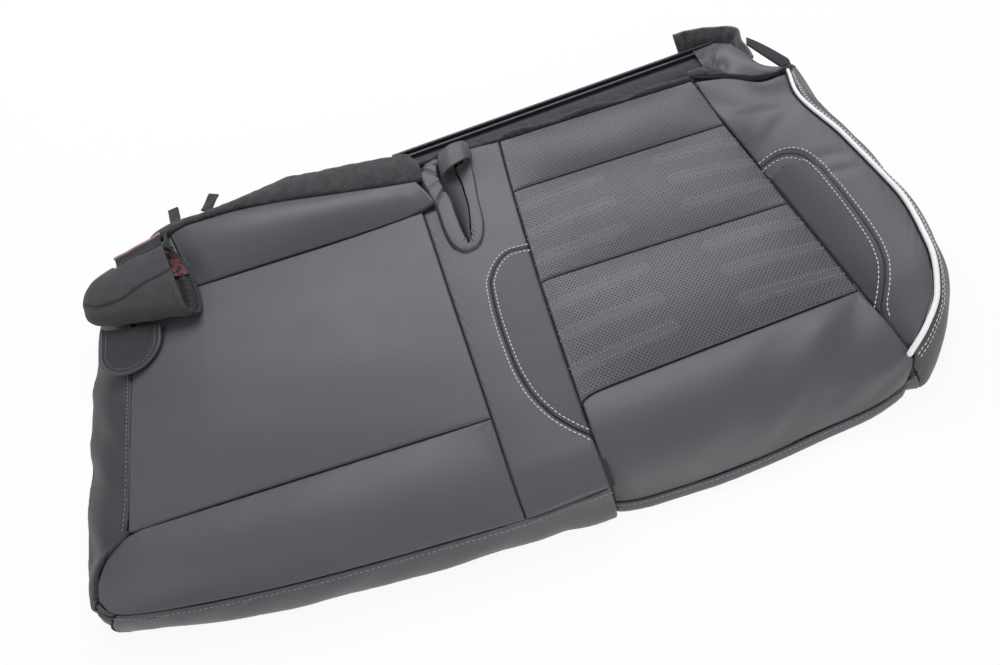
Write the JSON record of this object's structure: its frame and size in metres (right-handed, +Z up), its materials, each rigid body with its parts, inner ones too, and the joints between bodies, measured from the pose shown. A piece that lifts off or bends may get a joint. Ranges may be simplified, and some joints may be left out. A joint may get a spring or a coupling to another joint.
{
  "type": "rear bench cushion trim cover",
  "caption": "Loose sewn trim cover for a split rear bench cushion, with crowned panels, perforated insert, piped side bolster, buckle pocket and sleeve, felt hems and retainers.",
  "frame": {"origin": "on the surface that the cover lies on, below the middle of its outline", "axes": "+X across the bench from the centre place to the outboard place, +Y from the front to the rear, +Z up"},
  "size_m": [1.0149, 0.6204, 0.085],
  "materials": {
    "leatherette": "dark grey foam-backed leatherette, fine grain, satin",
    "perforated_leatherette": "dark grey leatherette with staggered small round perforations",
    "piping": "white leatherette piping, satin",
    "felt": "black nonwoven felt, fuzzy and matt",
    "twill": "black woven backing cloth, matt",
    "lining": "pale pinkish scrim on the foam backing, crumpled",
    "retainer_plastic": "black extruded polypropylene",
    "listing_cloth": "off-white nonwoven listing tape",
    "spring_wire": "drawn steel wire"
  },
  "bodies": {
    "root": {"centre_insert_panel": "leatherette", "centre_thigh_panel": "leatherette", "centre_rear_roll": "leatherette", "buckle_corner_panel": "leatherette", "centre_strip_panel": "leatherette", "centre_strip_patch": "leatherette", "outer_thigh_panel": "leatherette", "outer_bolster_panel": "leatherette", "outer_bolster_patch": "leatherette", "outer_side_panel": "leatherette", "inner_side_panel": "leatherette", "corner_welt": "leatherette", "centre_front_skirt": "leatherette", "outer_front_skirt": "leatherette", "rear_gusset": "leatherette", "buckle_pocket_rim": "leatherette", "buckle_pocket_strap": "leatherette", "outer_insert_front": "perforated_leatherette", "outer_insert_middle": "perforated_leatherette", "outer_insert_rear": "perforated_leatherette", "bolster_piping": "piping", "centre_rear_hem": "felt", "outer_rear_hem": "felt", "bolster_rear_hem": "felt", "buckle_pocket_liner": "twill", "centre_front_retainer": "retainer_plastic", "outer_front_retainer": "retainer_plastic", "inner_side_retainer": "retainer_plastic", "outer_side_retainer": "retainer_plastic", "listing_sleeve_strip_left": "listing_cloth", "listing_sleeve_strip_right": "listing_cloth", "listing_sleeve_bolster": "listing_cloth", "listing_sleeve_valley": "listing_cloth", "listing_sleeve_centre_thigh": "listing_cloth", "listing_sleeve_outer_thigh": "listing_cloth", "listing_wire_strip_left": "spring_wire", "listing_wire_strip_right": "spring_wire", "listing_wire_bolster": "spring_wire", "listing_wire_valley": "spring_wire", "listing_wire_centre_thigh": "spring_wire", "listing_wire_outer_thigh": "spring_wire"},
    "rear_flap": {"rear_flap": "felt", "rear_retainer_rail": "retainer_plastic"},
    "corner_flap": {"corner_flap": "felt"},
    "corner_tongue": {"corner_tongue": "felt"},
    "buckle_sleeve": {"buckle_sleeve": "twill", "buckle_sleeve_lining": "lining", "sleeve_hem_strip": "felt"},
    "buckle_flap": {"buckle_flap": "leatherette"},
    "hem_tab_left": {"hem_tab_left": "felt"},
    "hem_tab_right": {"hem_tab_right": "felt"}
  },
  "joints": [
    {"name": "rear_flap_fold", "type": "hinge", "parent": "root", "child": "rear_flap", "pos_m": [0.16, 0.222, 0.0025], "axis": [1, 0, 0], "range_deg": [0, 60]},
    {"name": "corner_flap_swing", "type": "hinge", "parent": "root", "child": "corner_flap", "pos_m": [0.4433, 0.2316, 0.001], "axis": [0, 0, -1], "range_deg": [0, 60]},
    {"name": "corner_tongue_lift", "type": "hinge", "parent": "root", "child": "corner_tongue", "pos_m": [0.456, 0.162, 0.0585], "axis": [1, 0, 0], "range_deg": [0, 30]},
    {"name": "buckle_sleeve_lift", "type": "hinge", "parent": "root", "child": "buckle_sleeve", "pos_m": [-0.4236, 0.1881, 0.0502], "axis": [-0.986, -0.1624, -0.0372], "range_deg": [0, 55]},
    {"name": "buckle_flap_lift", "type": "hinge", "parent": "root", "child": "buckle_flap", "pos_m": [-0.429, 0.0749, 0.0526], "axis": [-0.9689, 0.2473, 0], "range_deg": [0, 50]},
    {"name": "hem_tab_left_lift", "type": "hinge", "parent": "root", "child": "hem_tab_left", "pos_m": [-0.369, 0.2252, 0.052], "axis": [0.9903, 0.1392, 0], "range_deg": [0, 60]},
    {"name": "hem_tab_right_lift", "type": "hinge", "parent": "root", "child": "hem_tab_right", "pos_m": [-0.327, 0.231, 0.052], "axis": [0.9135, -0.4067, 0], "range_deg": [0, 60]}
  ]
}
